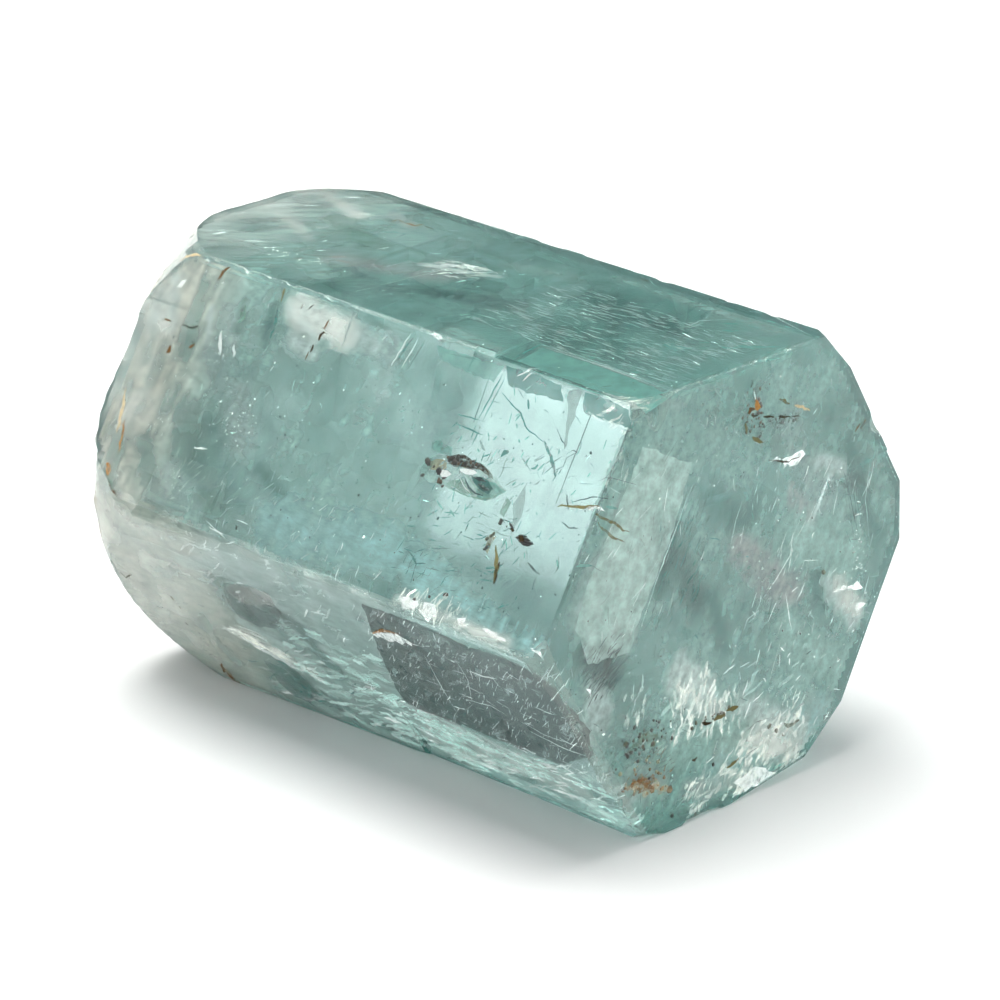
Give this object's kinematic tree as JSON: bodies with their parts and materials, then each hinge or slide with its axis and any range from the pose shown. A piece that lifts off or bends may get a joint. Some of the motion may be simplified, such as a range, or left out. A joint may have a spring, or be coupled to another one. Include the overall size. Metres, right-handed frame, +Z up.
{
  "type": "aquamarine crystal",
  "caption": "Six-sided prism of clear to milky blue-green beryl with a flat end and a rounded, broken end, lying on one side face.",
  "frame": {"origin": "middle of the bounding box's bottom, on the surface that the crystal rests on", "axes": "+X along the crystal toward its flat end, +Z up, +Y across"},
  "size_m": [0.0472, 0.035, 0.03],
  "materials": {
    "aquamarine": "clear to milky blue-green beryl, natural vitreous faces with fine growth marks and chipped edges"
  },
  "bodies": {
    "root": {"crystal": "aquamarine"}
  },
  "joints": []
}
